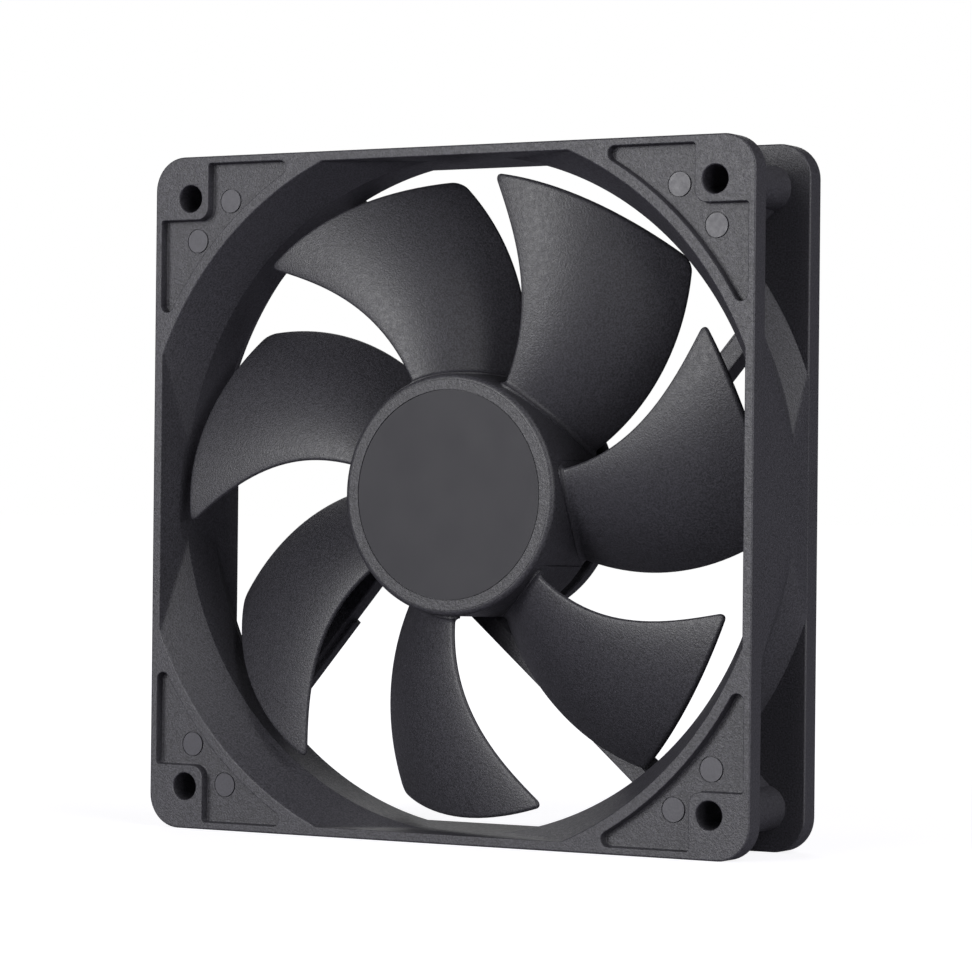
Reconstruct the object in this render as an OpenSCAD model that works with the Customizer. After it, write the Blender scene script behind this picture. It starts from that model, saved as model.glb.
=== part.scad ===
// Case fan with a square moulded frame, a seven-blade impeller and a brushless outer-rotor motor.
// It stands upright: air enters at the -Y face and leaves at the +Y face, and the origin is its centre.
// Every piece is drawn with the fan's axis along Z and the intake side up, and upright() stands it up.

/* [Frame] */
// Width and height of the square frame
frame_w = 120; // [100:1:160]
// Depth from the intake face to the exhaust face
frame_d = 25; // [20.5:0.5:38]
// Thickness of the front and rear flanges
flange_t = 4.1; // [3:0.1:5]
// Radius of the frame's four outer corners
corner_r = 6; // [4:0.5:8]
// Wall left between the duct's flats and the outer sides
side_wall = 1.7; // [1:0.1:2.5]
// How far the round throat reaches beyond the flats
throat_over = 0.5; // [0.2:0.1:1]
// How much wider the intake opening is than the throat, in radius
intake_flare = 4.5; // [2:0.1:5]
// Depth over which the intake flare narrows to the throat
intake_flare_h = 8.7; // [6:0.1:10]
// How much wider the exhaust opening is than the throat, in radius
exhaust_flare = 4.3; // [2:0.1:5]
// Depth over which the exhaust flare opens
exhaust_flare_h = 7.7; // [4:0.1:8.5]

/* [Screw holes] */
// Distance from a screw hole's centre to the two nearest outer sides
hole_inset = 7.5; // [7:0.1:8]
// Diameter of the four screw holes
hole_d = 4.8; // [4:0.1:5.2]
// Depth of the bevel round each hole's mouth
hole_bevel = 0.25; // [0.1:0.05:0.6]
// Radius of the post round each screw hole, between the flanges
post_r = 3.9; // [3.4:0.1:4.5]

/* [Corner pockets] */
// Depth of the moulded pockets in the front flange
pocket_h = 1.9; // [0.6:0.1:2.5]
// Rim left between a pocket and the outer sides
pocket_rim = 1.3; // [1:0.1:2]
// Lip left between a pocket and the intake opening
pocket_lip = 1.9; // [1:0.1:2.5]
// Half width of the square pad left round each screw hole
pad_half = 3.8; // [3.4:0.1:4]
// Diameter of the ejector marks in the pockets
ejector_d = 4.5; // [3:0.1:5]

/* [Impeller] */
// Number of blades
blade_count = 7; // [5:1:9]
// Gap between the blade tips and the throat
tip_gap = 2.8; // [1:0.1:5]
// Thickness of a blade halfway along its chord
blade_t = 1.6; // [1.2:0.1:2.2]
// Outer diameter of the hub
hub_d = 42.8; // [39:0.2:50.4]
// Wall of the hub's cup
hub_wall = 1.9; // [1.6:0.1:2.5]
// Depth of the hub's front face behind the intake face
hub_recess = 2.75; // [1:0.05:4]
// Diameter of the blank label on the hub
hub_label_d = 36.2; // [30:0.1:37]

/* [Motor] */
// Shaft diameter
shaft_d = 3; // [2.5:0.1:4]
// Running clearance between the shaft and its bearing, in radius
shaft_clear = 0.02; // [0.01:0.01:0.05]
// Outer diameter of the sleeve bearing
bearing_d = 8; // [7:0.1:9.6]
// Wall of the bearing tube
tube_wall = 1; // [0.8:0.1:1.5]
// Air gap between the magnet ring and the stator
air_gap = 0.4; // [0.3:0.05:0.6]
// Radial thickness of the magnet ring
magnet_t = 2.4; // [1.5:0.1:2.6]
// Height of the motor base, from the exhaust face
base_h = 2.9; // [2.6:0.1:3.2]
// Gap between the motor base and the hub
base_gap = 2.6; // [2.4:0.1:3.5]

/* [Struts] */
// Width of a strut's front face
strut_w = 3.1; // [2:0.1:4]
// Depth of the struts, from the exhaust face
strut_h = 3.9; // [3:0.1:4.2]
// Width of the strut that carries the lead channel
lead_strut_w = 10.7; // [9:0.1:12]
// Width of the lead channel
channel_w = 5.6; // [4:0.1:6]

/* [Hidden] */
$fn = 96;
eps = 0.01;

// Frame
front_z = frame_d / 2;
rear_z = -front_z;
half_w = frame_w / 2;
flat_half = half_w - side_wall;
throat_r = flat_half + throat_over;
intake_r = throat_r + intake_flare;
exhaust_r = throat_r + exhaust_flare;
duct_wall = 1.8;
duct_front_over = 2.3;
duct_rear_over = 4.5;
duct_waist = 9.9;
duct_front_r = intake_r + duct_front_over;
duct_rear_r = throat_r + duct_rear_over;
duct_waist_z = rear_z + duct_waist;
hole_at = half_w - hole_inset;
web_half = 3.3;
post_sink = 1;
pad_round = 2.2;
pocket_round = 0.5;
ejector_in = [7.5, 0.5];
ejector_h = 0.12;

// Motor base and struts
base_over = 0.1;
base_r = hub_d / 2 + base_over;
base_floor_t = 1.5;
base_rim = 1.7;
label_pocket = 0.25;
label_t = 0.18;
label_gap = 0.1;
boss_wall = 1.5;
boss_h = 1.6;
boss_sink = 0.2;
plug_r = 3.5;
rear_label_r = base_r - 2.5;
strut_offset = 20.1;
strut_slant = 2;
strut_draft = 0.4;
strut_sink = 6;
strut_root = 0.6;
lead_turn = 229.5;
lead_sink = 8;
channel_from = 14;
channel_floor = 1.3;
lip_w = 0.8;
lip_at = 38;
lip_drop = 1.6;
bridge_at = [30, 48];
bridge_w = 3;
bridge_t = 0.8;

// Rotor
hub_r = hub_d / 2;
hub_front = front_z - hub_recess;
hub_back = rear_z + base_h + base_gap;
hub_draft = 0.45;
hub_edge_r = hub_r - hub_draft;
hub_round = 1;
hub_face_t = 1.8;
line_w = 0.3;
line_depth = 0.2;
line_stop = 0.4;
yoke_t = 1;
yoke_disc_t = 0.8;
yoke_step = 0.6;
yoke_r = hub_r - hub_wall;
magnet_r = yoke_r - yoke_t;
magnet_in_r = magnet_r - magnet_t;
yoke_top = hub_front - hub_face_t;
yoke_bottom = hub_back + yoke_step;
magnet_drop = 1.2;
magnet_top = yoke_top - yoke_disc_t - magnet_drop;
magnet_step = 0.8;
magnet_bottom = yoke_bottom + magnet_step;

// Blades, in the developed cylinder: an angle round the axis and a height along it
tip_r = throat_r - tip_gap;
root_sink = 0.9;
root_lead = 63.8;
root_chord = 42.7;
tip_lead_sweep = 19.1;
tip_trail_sweep = 25;
trail_bow = 1.3;
lead_z = 6.4;
trail_z = -6.4;
lead_bulge = 0.7;
camber_root = 2.4;
camber_tip = 3.6;
tip_round = 1.5;
tip_chord = 36;
edge_share = 0.3;
slope_step = 0.02;
span_steps = 12;
chord_steps = 10;
blade_pitch = 360 / blade_count;

// Motor stack, built up from the floor of the base
floor_z = rear_z + base_floor_t;
shaft_r = shaft_d / 2;
bore_r = shaft_r + shaft_clear;
tube_in_r = bearing_d / 2;
tube_r = tube_in_r + tube_wall;
boss_r = tube_r + boss_wall;
board_t = 1;
board_z = floor_z + boss_h;
board_top = board_z + board_t;
board_inset = 2.2;
board_r = hub_r - board_inset;
coil_play = 1.15;
coil_lift = 2.4;
coil_top = yoke_top - yoke_disc_t - coil_play;
coil_bottom = board_top + coil_lift;
coil_wall = 1.6;
insulator_t = 0.9;
insulator_inset = 0.5;
core_top = coil_top - coil_wall - insulator_t;
core_bottom = coil_bottom + coil_wall + insulator_t;
core_mid = (core_top + core_bottom) / 2;
core_r = magnet_in_r - air_gap;
core_ring_t = 2.2;
core_ring_r = tube_r + core_ring_t;
shoe_t = 2.6;
shoe_gap = 4;
shoe_in_r = core_r - shoe_t;
neck_w = 5;
skirt_t = 0.3;
guard_t = 0.6;
wire_step = 0.1;
coil_gap = 0.2;
coil_half = neck_w / 2 + skirt_t + coil_wall;
coil_in_r = core_ring_r + coil_gap;
coil_out_r = sqrt(shoe_in_r * shoe_in_r - coil_half * coil_half) - coil_gap;
pin_r = 0.35;
pin_inset = 1.1;
pin_at = core_r - pin_inset;
pin_boss_r = 0.95;
pin_tail = 0.7;
solder_r = 0.95;
solder_top_r = 0.5;
solder_h = 0.5;

pad_t = 0.6;
tip_play = 0.1;
shaft_end = floor_z + pad_t + tip_play;
shaft_cover = 0.75;
shaft_top = hub_front - shaft_cover;
shaft_taper = [0.5, 0.4];
shaft_bevel = 0.3;
clip_t = 0.4;
clip_w = 1;
clip_slot = 1.4;
clip_play = 0.45;
clip_up = 0.65;
clip_z = shaft_end + clip_up;
groove_depth = 0.4;
groove_r = shaft_r - groove_depth;
bearing_bottom = clip_z + clip_t + clip_play;
bearing_bevel = 0.4;
tube_stand = 1.7;
tube_top = core_top + tube_stand;
bearing_drop = 2;
bearing_top = tube_top - bearing_drop;
seal_t = 0.4;
seal_gap = 0.3;
slinger_t = 0.5;
slinger_w = 1.2;
slinger_z = bearing_top + seal_t + seal_gap;
bush_r = 3;
bush_bottom = slinger_z + slinger_t;
hub_boss_r = 5.5;
hub_boss_gap = 0.7;
hub_boss_bottom = tube_top + hub_boss_gap;

moulded = [0.2, 0.2, 0.21];

function arc(cx, cy, r, from, to, steps) =
    [for (i = [0:steps]) let (a = from + (to - from) * i / steps) [cx + r * cos(a), cy + r * sin(a)]];

module upright() rotate([90, 0, 0]) children();

module tube(r_out, r_in, z0, z1)
    translate([0, 0, z0]) difference() {
        cylinder(r = r_out, h = z1 - z0);
        translate([0, 0, -1]) cylinder(r = r_in, h = z1 - z0 + 2);
    }

module disc(r, z0, z1) translate([0, 0, z0]) cylinder(r = r, h = z1 - z0);

module quarter_turns() for (k = [0:3]) rotate([0, 0, 90 * k]) children();

module rounded_rect(w, h, r) {
    square([w - 2 * r, h], center = true);
    square([w, h - 2 * r], center = true);
    for (x = [-1, 1], y = [-1, 1]) translate([x * (w / 2 - r), y * (h / 2 - r)]) circle(r = r, $fn = 32);
}

// The frame ---------------------------------------------------------------------------------------

module flange(z0)
    translate([0, 0, z0]) linear_extrude(flange_t) rounded_rect(frame_w, frame_w, corner_r);

// Outside of the duct: wide at both flanges and narrow at the waist, cut off flat by the four sides
module duct_outside()
    intersection() {
        rotate_extrude($fn = 180) polygon([
            [0, rear_z + eps], [duct_rear_r, rear_z + eps], [duct_rear_r, rear_z + flange_t],
            [throat_r + duct_wall, duct_waist_z], [duct_front_r, front_z - flange_t],
            [duct_front_r, front_z - eps], [0, front_z - eps]]);
        cube([frame_w, frame_w, frame_d], center = true);
    }

// Air path: flare, throat and flare, with a flat at each of the four sides
module air_path()
    intersection() {
        rotate_extrude($fn = 180) polygon([
            [0, rear_z - 1], [exhaust_r + exhaust_flare / exhaust_flare_h, rear_z - 1],
            [throat_r, rear_z + exhaust_flare_h], [throat_r, front_z - intake_flare_h],
            [intake_r + intake_flare / intake_flare_h, front_z + 1], [0, front_z + 1]]);
        cube([2 * flat_half, 2 * flat_half, frame_d + 4], center = true);
    }

module screw_post() {
    h = frame_d - 2 * post_sink;
    translate([hole_at, hole_at, rear_z + post_sink]) cylinder(r = post_r, h = h);
    rotate([0, 0, 45]) translate([throat_r, -web_half, rear_z + post_sink])
        cube([hole_at * sqrt(2) - throat_r, 2 * web_half, h]);
}

module screw_hole()
    translate([hole_at, hole_at, 0]) {
        translate([0, 0, rear_z - 1]) cylinder(d = hole_d, h = frame_d + 2);
        for (m = [0, 1]) mirror([0, 0, m]) translate([0, 0, front_z - hole_bevel])
            cylinder(r1 = hole_d / 2, r2 = hole_d / 2 + hole_bevel + eps, h = hole_bevel + eps);
    }

// One corner pocket: an arc along the opening, two round ends, and a pad left round the screw hole.
// Two discs stand a little proud of its floor where the ejector pins pressed.
module corner_pocket() {
    end_r = pocket_rim;
    edge = half_w - pocket_rim;
    arc_r = intake_r + pocket_lip;
    end_y = edge - end_r;
    end_x = sqrt(pow(arc_r + end_r, 2) - pow(end_y, 2));
    end_a = atan2(end_y, end_x);
    pad = hole_at - pad_half;
    difference() {
        translate([0, 0, front_z - pocket_h]) linear_extrude(pocket_h + 1) polygon(concat(
            arc(end_x, end_y, end_r, end_a + 180, 90, 10),
            arc(pad - pocket_round, edge - pocket_round, pocket_round, 90, 0, 4),
            arc(pad + pad_round, pad + pad_round, pad_round, 180, 270, 8),
            arc(edge - pocket_round, pad - pocket_round, pocket_round, 90, 0, 4),
            arc(end_y, end_x, end_r, 0, -90 - end_a, 10),
            arc(0, 0, arc_r, 90 - end_a, end_a, 24)));
        for (m = [0, 1]) mirror([m, -m, 0])
            translate([hole_at - ejector_in[0], hole_at - ejector_in[1], front_z - pocket_h - 1])
                cylinder(d = ejector_d, h = 1 + ejector_h, $fn = 48);
    }
}

// A straight strut beside the axis: a flat front face, and a slanted side towards the axis
module strut(w, reach)
    rotate([90, 0, 90]) translate([0, 0, reach[0]]) linear_extrude(reach[1] - reach[0]) polygon([
        [-strut_offset - strut_draft, rear_z], [-strut_offset, rear_z + strut_h],
        [-strut_offset + w, rear_z + strut_h], [-strut_offset + w + strut_slant, rear_z]]);

module struts() {
    reach = [sqrt(base_r * base_r - strut_offset * strut_offset) - strut_sink, intake_r];
    intersection() {
        union() {
            for (k = [1:3]) rotate([0, 0, lead_turn + 90 * k]) strut(strut_w, reach);
            rotate([0, 0, lead_turn]) lead_strut(reach);
        }
        disc(exhaust_r + strut_root, rear_z, front_z);
    }
}

// The strut that carries the leads is wider, with upright sides and a small lip near the frame
module lead_strut(reach) {
    translate([reach[0] - lead_sink, -strut_offset, rear_z])
        cube([reach[1] - reach[0] + lead_sink, lead_strut_w, strut_h]);
    translate([lip_at, -strut_offset, rear_z])
        cube([reach[1] - lip_at, lead_strut_w + lip_w, strut_h - lip_drop]);
}

// Channel for the leads, open at the rear, from the base's rim to the frame's outer side
module lead_channel()
    rotate([0, 0, lead_turn])
        translate([channel_from, -strut_offset + (lead_strut_w - channel_w) / 2, rear_z - 1])
            cube([frame_w, channel_w, strut_h - channel_floor + 1]);

// Small bridges that hold the leads in their channel
module lead_bridges()
    rotate([0, 0, lead_turn]) for (x = bridge_at)
        translate([x, -strut_offset + (lead_strut_w - channel_w) / 2 - bridge_t, rear_z])
            cube([bridge_w, channel_w + 2 * bridge_t, bridge_t]);

module motor_base_hollow() {
    disc(base_r - base_rim, floor_z, front_z);
    disc(rear_label_r, rear_z - 1, rear_z + label_pocket);
    disc(plug_r, rear_z - 1, floor_z + 1);
}

module frame() color(moulded) upright() {
    difference() {
        union() {
            difference() {
                union() {
                    flange(rear_z);
                    flange(front_z - flange_t);
                    duct_outside();
                    quarter_turns() screw_post();
                }
                air_path();
            }
            difference() {
                struts();
                disc(base_r - base_rim / 2, rear_z - 1, front_z);
            }
            disc(base_r, rear_z, rear_z + base_h);
        }
        motor_base_hollow();
        lead_channel();
        quarter_turns() screw_hole();
        quarter_turns() corner_pocket();
    }
    lead_bridges();
    difference() {
        disc(boss_r, floor_z - boss_sink, board_z);
        disc(tube_r, floor_z, front_z);
        disc(plug_r, rear_z, front_z);
    }
}

// Bearing and its small parts -----------------------------------------------------------------------

module bearing_tube() color("goldenrod") upright() tube(tube_r, tube_in_r, floor_z, tube_top);

module sleeve_bearing() color([0.55, 0.38, 0.22]) upright() difference() {
    tube(tube_in_r, bore_r, bearing_bottom, bearing_top);
    for (z = [bearing_bottom, bearing_top]) translate([0, 0, z]) rotate_extrude()
        polygon([[shaft_r, -bearing_bevel], [bore_r + bearing_bevel, 0], [shaft_r, bearing_bevel]]);
}

module oil_seal_ring() color([0.85, 0.82, 0.7]) upright()
    tube(tube_in_r, shaft_r + seal_gap, bearing_top, bearing_top + seal_t);

module thrust_pad() color("ivory") upright() disc(tube_in_r, floor_z, floor_z + pad_t);

module end_cap() color([0.08, 0.08, 0.08]) upright() disc(plug_r, rear_z + label_pocket, floor_z);

// Stator ------------------------------------------------------------------------------------------

// Outline of one stator sheet, with its shoes drawn back by inset
module sheet_outline(inset) {
    difference() {
        circle(r = core_ring_r);
        circle(r = tube_r);
    }
    difference() {
        union() {
            for (a = [0, 90]) rotate(a) square([2 * (core_r - insulator_inset), neck_w], center = true);
            difference() {
                circle(r = core_r - inset);
                circle(r = shoe_in_r);
            }
        }
        circle(r = (tube_r + core_ring_r) / 2);
        for (a = [45, 135]) rotate(a) square([3 * core_r, shoe_gap], center = true);
        difference() {
            circle(r = 2 * core_r);
            circle(r = core_r - inset);
        }
    }
}

module stator_core() color([0.45, 0.46, 0.48]) upright()
    translate([0, 0, core_bottom]) linear_extrude(core_top - core_bottom) sheet_outline(0);

// One moulded insulator, drawn for the top of the core: plate, guard walls and neck skirts
module insulator() {
    plate_z = core_top - core_mid;
    wall_h = insulator_t + coil_wall - wire_step;
    translate([0, 0, plate_z]) linear_extrude(insulator_t) sheet_outline(insulator_inset);
    translate([0, 0, plate_z]) linear_extrude(wall_h) difference() {
        circle(r = core_ring_r);
        circle(r = core_ring_r - guard_t);
    }
    translate([0, 0, plate_z]) linear_extrude(wall_h) difference() {
        circle(r = shoe_in_r + guard_t);
        circle(r = shoe_in_r);
        for (a = [45, 135]) rotate(a) square([3 * core_r, shoe_gap], center = true);
    }
    quarter_turns() for (m = [0, 1]) mirror([0, m, 0])
        translate([coil_in_r, neck_w / 2, 0]) cube([coil_out_r - coil_in_r, skirt_t, plate_z + insulator_t]);
}

module upper_insulator() color([0.92, 0.9, 0.84]) upright() translate([0, 0, core_mid]) insulator();

// The lower insulator also carries the four posts that hold the winding pins
module lower_insulator() color([0.92, 0.9, 0.84]) upright() {
    post_h = core_bottom - coil_bottom;
    difference() {
        union() {
            translate([0, 0, core_mid]) mirror([0, 0, 1]) insulator();
            quarter_turns() translate([pin_at, 0, coil_bottom])
                cylinder(r = pin_boss_r, h = post_h, $fn = 32);
        }
        quarter_turns() translate([pin_at, 0, coil_bottom - 1])
            cylinder(r = pin_r, h = post_h + 1, $fn = 32);
    }
}

// A coil of enamelled wire round one neck of the core
module coil(turn) color([0.72, 0.35, 0.14]) upright()
    rotate([0, 0, turn]) translate([coil_in_r, 0, core_mid]) rotate([90, 0, 90])
        linear_extrude(coil_out_r - coil_in_r) difference() {
            rounded_rect(2 * coil_half, coil_top - coil_bottom, coil_wall - wire_step);
            square([neck_w + 2 * skirt_t, coil_top - coil_bottom - 2 * coil_wall], center = true);
        }

module coil_1() coil(0);
module coil_2() coil(90);
module coil_3() coil(180);
module coil_4() coil(270);

// Circuit board and what is on it -------------------------------------------------------------------

ic_size = [4.2, 3.2, 1.1];
capacitor_size = [3.2, 2.4, 1.2];
resistor_size = [2, 1.2, 0.5];
resistor_turns = [205, 228, 305];
ic_turn = 45;
capacitor_turn = 135;
chip_inset = 4.4;
ic_under = 0.3;

module circuit_board() color([0.05, 0.3, 0.14]) upright() difference() {
    tube(board_r, tube_r, board_z, board_top);
    quarter_turns() translate([pin_at, 0, board_z - 1]) cylinder(r = pin_r, h = board_t + 2, $fn = 32);
}

// A block lying on the board at a radius and an angle
module on_board(size, r, a, z) rotate([0, 0, a]) translate([r - size[0] / 2, -size[1] / 2, z]) cube(size);

module hall_driver_ic() color([0.07, 0.07, 0.08]) upright()
    on_board(ic_size, magnet_in_r - ic_under, ic_turn, board_top);

module filter_capacitor() color([0.62, 0.5, 0.36]) upright()
    on_board(capacitor_size, board_r - chip_inset, capacitor_turn, board_z - capacitor_size[2]);

module chip_resistors() color([0.1, 0.1, 0.1]) upright()
    for (a = resistor_turns) on_board(resistor_size, board_r - chip_inset, a, board_z - resistor_size[2]);

module winding_pins() color([0.8, 0.79, 0.75]) upright()
    quarter_turns() translate([pin_at, 0, board_z - pin_tail])
        cylinder(r = pin_r, h = core_bottom - board_z + pin_tail, $fn = 32);

module solder_joints() color([0.75, 0.76, 0.78]) upright()
    quarter_turns() translate([pin_at, 0, board_z]) mirror([0, 0, 1]) difference() {
        cylinder(r1 = solder_r, r2 = solder_top_r, h = solder_h, $fn = 32);
        translate([0, 0, -1]) cylinder(r = pin_r, h = solder_h + 2, $fn = 32);
    }

module rear_label() color([0.3, 0.3, 0.31]) upright()
    disc(rear_label_r - label_gap, rear_z + label_pocket - label_t, rear_z + label_pocket);

// Impeller ----------------------------------------------------------------------------------------

function lead_angle(t) = root_lead + tip_lead_sweep * (1.9 - 0.9 * t) * t * t;
function trail_angle(t) = root_lead - root_chord + tip_trail_sweep * t - 4 * trail_bow * t * (1 - t);

// Rounding of the two tip corners: how much of the span is left, and the share of the chord it takes
function tip_part(r) = max(0, (r - tip_r + tip_round) / tip_round);
function corner_cut(r) = tip_round * (1 - sqrt(1 - pow(tip_part(r), 2)));
function chord_share(r) = corner_cut(r) / (r * tip_chord * PI / 180);

// Point of the blade's middle surface, as [angle, height], at radius r and chord share v
function blade_mid(r, v) =
    let (t = max(0, (r - hub_r) / (tip_r - hub_r)),
         w = chord_share(r) + v * (1 - 2 * chord_share(r)),
         camber = camber_root + (camber_tip - camber_root) * t,
         bulge = lead_bulge * 4 * t * (1 - t))
    [lead_angle(t) + (trail_angle(t) - lead_angle(t)) * w,
     lead_z + bulge + (trail_z - lead_z - bulge) * w + 4 * camber * w * (1 - w)];

// Point on one face of the blade: the middle surface moved sideways by half the local thickness
function blade_face(r, v, side) =
    let (m = blade_mid(r, v),
         a = blade_mid(r, max(0, v - slope_step)),
         b = blade_mid(r, min(1, v + slope_step)),
         along = [(b[0] - a[0]) * r * PI / 180, b[1] - a[1]],
         half = side * blade_t / 2 * (edge_share + (1 - edge_share) * sqrt(max(0, 4 * v * (1 - v)))),
         across = [-along[1], along[0]] * half / norm(along),
         angle = m[0] + across[0] / r * 180 / PI)
    [r * cos(angle), r * sin(angle), m[1] + across[1]];

module blade() {
    n = chord_steps + 1;
    last = (span_steps + 1) * n;
    root_r = hub_r - root_sink;
    span = [for (i = [0:span_steps]) sin(90 * i / span_steps)];
    chord = [for (j = [0:chord_steps]) (1 - cos(180 * j / chord_steps)) / 2];
    points = [for (side = [1, -1], s = span, v = chord)
        blade_face(root_r + (tip_r - eps - root_r) * s, v, side)];
    corners = [for (i = [0:span_steps - 1], j = [0:chord_steps - 1]) i * n + j];
    front = concat([for (p = corners) [p, p + 1, p + n + 1]], [for (p = corners) [p, p + n + 1, p + n]]);
    edge = concat(
        [for (j = [0:chord_steps]) j],
        [for (i = [1:span_steps]) i * n + chord_steps],
        [for (j = [1:chord_steps]) span_steps * n + chord_steps - j],
        [for (i = [1:span_steps - 1]) (span_steps - i) * n]);
    sides = [for (k = [0:len(edge) - 1]) [edge[k], edge[(k + 1) % len(edge)]]];
    polyhedron(points, concat(
        front,
        [for (f = front) [f[2] + last, f[1] + last, f[0] + last]],
        [for (s = sides) [s[1], s[0], s[0] + last]],
        [for (s = sides) [s[1], s[0] + last, s[1] + last]]),
        convexity = 4);
}

module hub()
    rotate_extrude($fn = 180) polygon(concat(
        [[0, shaft_top], [0, hub_front - label_pocket],
         [hub_label_d / 2 + label_gap, hub_front - label_pocket], [hub_label_d / 2 + label_gap, hub_front]],
        arc(hub_edge_r - hub_round, hub_front - hub_round, hub_round, 90, 0, 10),
        [[hub_r, hub_back], [yoke_r, hub_back], [yoke_r, yoke_top], [hub_boss_r, yoke_top],
         [hub_boss_r, hub_boss_bottom], [bush_r, hub_boss_bottom], [bush_r, shaft_top]]));

// Fine parting line along the hub, between one blade's trailing edge and the next one's leading edge
module parting_line()
    rotate([90, 0, root_lead - root_chord - (blade_pitch - root_chord) / 2])
        linear_extrude(line_w, center = true) polygon([
            [hub_edge_r - line_depth, hub_front - hub_round - line_stop], [hub_r - line_depth, hub_back - 1],
            [hub_r + 1, hub_back - 1], [hub_r + 1, hub_front - hub_round - line_stop]]);

module impeller() color([0.22, 0.22, 0.23]) upright() difference() {
    union() {
        hub();
        for (k = [0:blade_count - 1]) rotate([0, 0, k * blade_pitch]) blade();
    }
    for (k = [0:blade_count - 1]) rotate([0, 0, k * blade_pitch]) parting_line();
}

module hub_label() color([0.29, 0.29, 0.3]) upright()
    disc(hub_label_d / 2, hub_front - label_pocket, hub_front - label_pocket + label_t);

// Rest of the rotor -------------------------------------------------------------------------------

// Drawn steel cup that carries the magnet, with a hole for the hub's boss
module rotor_yoke() color([0.6, 0.61, 0.63]) upright() difference() {
    disc(yoke_r, yoke_bottom, yoke_top);
    disc(magnet_r, yoke_bottom - 1, yoke_top - yoke_disc_t);
    disc(hub_boss_r, yoke_bottom, yoke_top + 1);
}

module magnet_ring() color([0.16, 0.15, 0.15]) upright()
    tube(magnet_r, magnet_in_r, magnet_bottom, magnet_top);

module shaft() color([0.78, 0.79, 0.8]) upright()
    rotate_extrude() polygon([
        [0, shaft_end], [shaft_r - shaft_taper[0], shaft_end], [shaft_r, shaft_end + shaft_taper[1]],
        [shaft_r, clip_z], [groove_r, clip_z], [groove_r, clip_z + clip_t], [shaft_r, clip_z + clip_t],
        [shaft_r, shaft_top - shaft_bevel], [shaft_r - shaft_bevel, shaft_top], [0, shaft_top]]);

module shaft_bush() color("goldenrod") upright() tube(bush_r, shaft_r, bush_bottom, shaft_top);

// Split ring snapped into the shaft's groove
module retaining_clip() color([0.9, 0.88, 0.8]) upright() difference() {
    tube(shaft_r + clip_w, groove_r, clip_z, clip_z + clip_t);
    translate([0, -clip_slot / 2, clip_z - 1]) cube([shaft_r + clip_w + 1, clip_slot, clip_t + 2]);
}

module oil_slinger() color([0.93, 0.93, 0.9]) upright()
    tube(shaft_r + slinger_w, shaft_r, slinger_z, slinger_z + slinger_t);

frame();
bearing_tube();
sleeve_bearing();
oil_seal_ring();
thrust_pad();
end_cap();
stator_core();
upper_insulator();
lower_insulator();
coil_1();
coil_2();
coil_3();
coil_4();
circuit_board();
hall_driver_ic();
filter_capacitor();
chip_resistors();
winding_pins();
solder_joints();
rear_label();
impeller();
hub_label();
rotor_yoke();
magnet_ring();
shaft();
shaft_bush();
retaining_clip();
oil_slinger();
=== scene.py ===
import math

import bmesh
import bpy
from mathutils import Matrix, Vector


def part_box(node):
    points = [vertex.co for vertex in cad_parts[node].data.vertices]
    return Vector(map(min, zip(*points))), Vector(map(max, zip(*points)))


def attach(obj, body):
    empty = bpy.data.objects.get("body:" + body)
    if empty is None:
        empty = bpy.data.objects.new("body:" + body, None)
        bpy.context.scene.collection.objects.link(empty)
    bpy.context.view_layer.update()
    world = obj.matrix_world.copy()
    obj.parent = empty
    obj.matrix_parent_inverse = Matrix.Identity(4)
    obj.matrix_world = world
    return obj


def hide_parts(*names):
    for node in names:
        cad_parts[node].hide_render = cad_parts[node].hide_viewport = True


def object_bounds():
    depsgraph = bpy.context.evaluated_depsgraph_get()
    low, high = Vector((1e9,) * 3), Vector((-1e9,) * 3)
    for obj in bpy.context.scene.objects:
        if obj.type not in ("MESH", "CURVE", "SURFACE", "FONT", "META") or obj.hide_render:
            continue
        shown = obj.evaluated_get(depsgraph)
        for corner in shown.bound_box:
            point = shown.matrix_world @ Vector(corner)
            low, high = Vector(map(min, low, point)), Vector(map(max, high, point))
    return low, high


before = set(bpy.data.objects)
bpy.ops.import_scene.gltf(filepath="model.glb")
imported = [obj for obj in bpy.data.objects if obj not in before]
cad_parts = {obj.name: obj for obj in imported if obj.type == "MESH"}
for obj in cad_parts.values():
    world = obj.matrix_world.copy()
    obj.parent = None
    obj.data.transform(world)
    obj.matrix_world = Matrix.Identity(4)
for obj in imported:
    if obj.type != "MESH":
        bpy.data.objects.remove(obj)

# A case fan. The shapes below are drawn in millimetres in the fan's own frame, with its axis along Z and
# the intake side up, and stand() turns them upright and into metres, as the CAD frame has them.

MM = 0.001
STAND = Matrix.Rotation(math.radians(90), 4, "X") @ Matrix.Scale(MM, 4)
cad_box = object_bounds()
QUARTERS = (0, 90, 180, 270)


def node_reach(node):
    """A node's greatest distance from the axis along X, and its lowest and highest local z, in millimetres."""
    low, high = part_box(node)
    return high.x / MM, -high.y / MM, -low.y / MM


# Frame: the outer sizes come from the CAD frame, and the others are those of the moulding
half_w, rear_z, front_z = node_reach("frame")
FLANGE_T = 4.1
CORNER_R = 6.0
EDGE_R = 0.35
DUCT_SHY = 0.06
flat_half = half_w - 1.7
throat_r = flat_half + 0.5
intake_r = throat_r + 4.5
exhaust_r = throat_r + 4.3
INTAKE_H = 8.7
EXHAUST_H = 7.7
MOUTH_R = 0.2
BEND_R = 0.5
WAIST_UP = 9.9
duct_front_r = intake_r + 2.3
duct_rear_r = throat_r + 4.5
duct_waist_r = throat_r + 1.8
hole_at = half_w - 7.5
HOLE_R = 2.4
HOLE_BEVEL = 0.25
POST_R = 3.9
WEB_HALF = 3.3
POCKET_H = 1.9
POCKET_RIM = 1.3
POCKET_LIP = 1.9
PAD_HALF = 3.8
PAD_ROUND = 2.2
POCKET_ROUND = 0.5
POCKET_EDGE_R = 0.18
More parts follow.
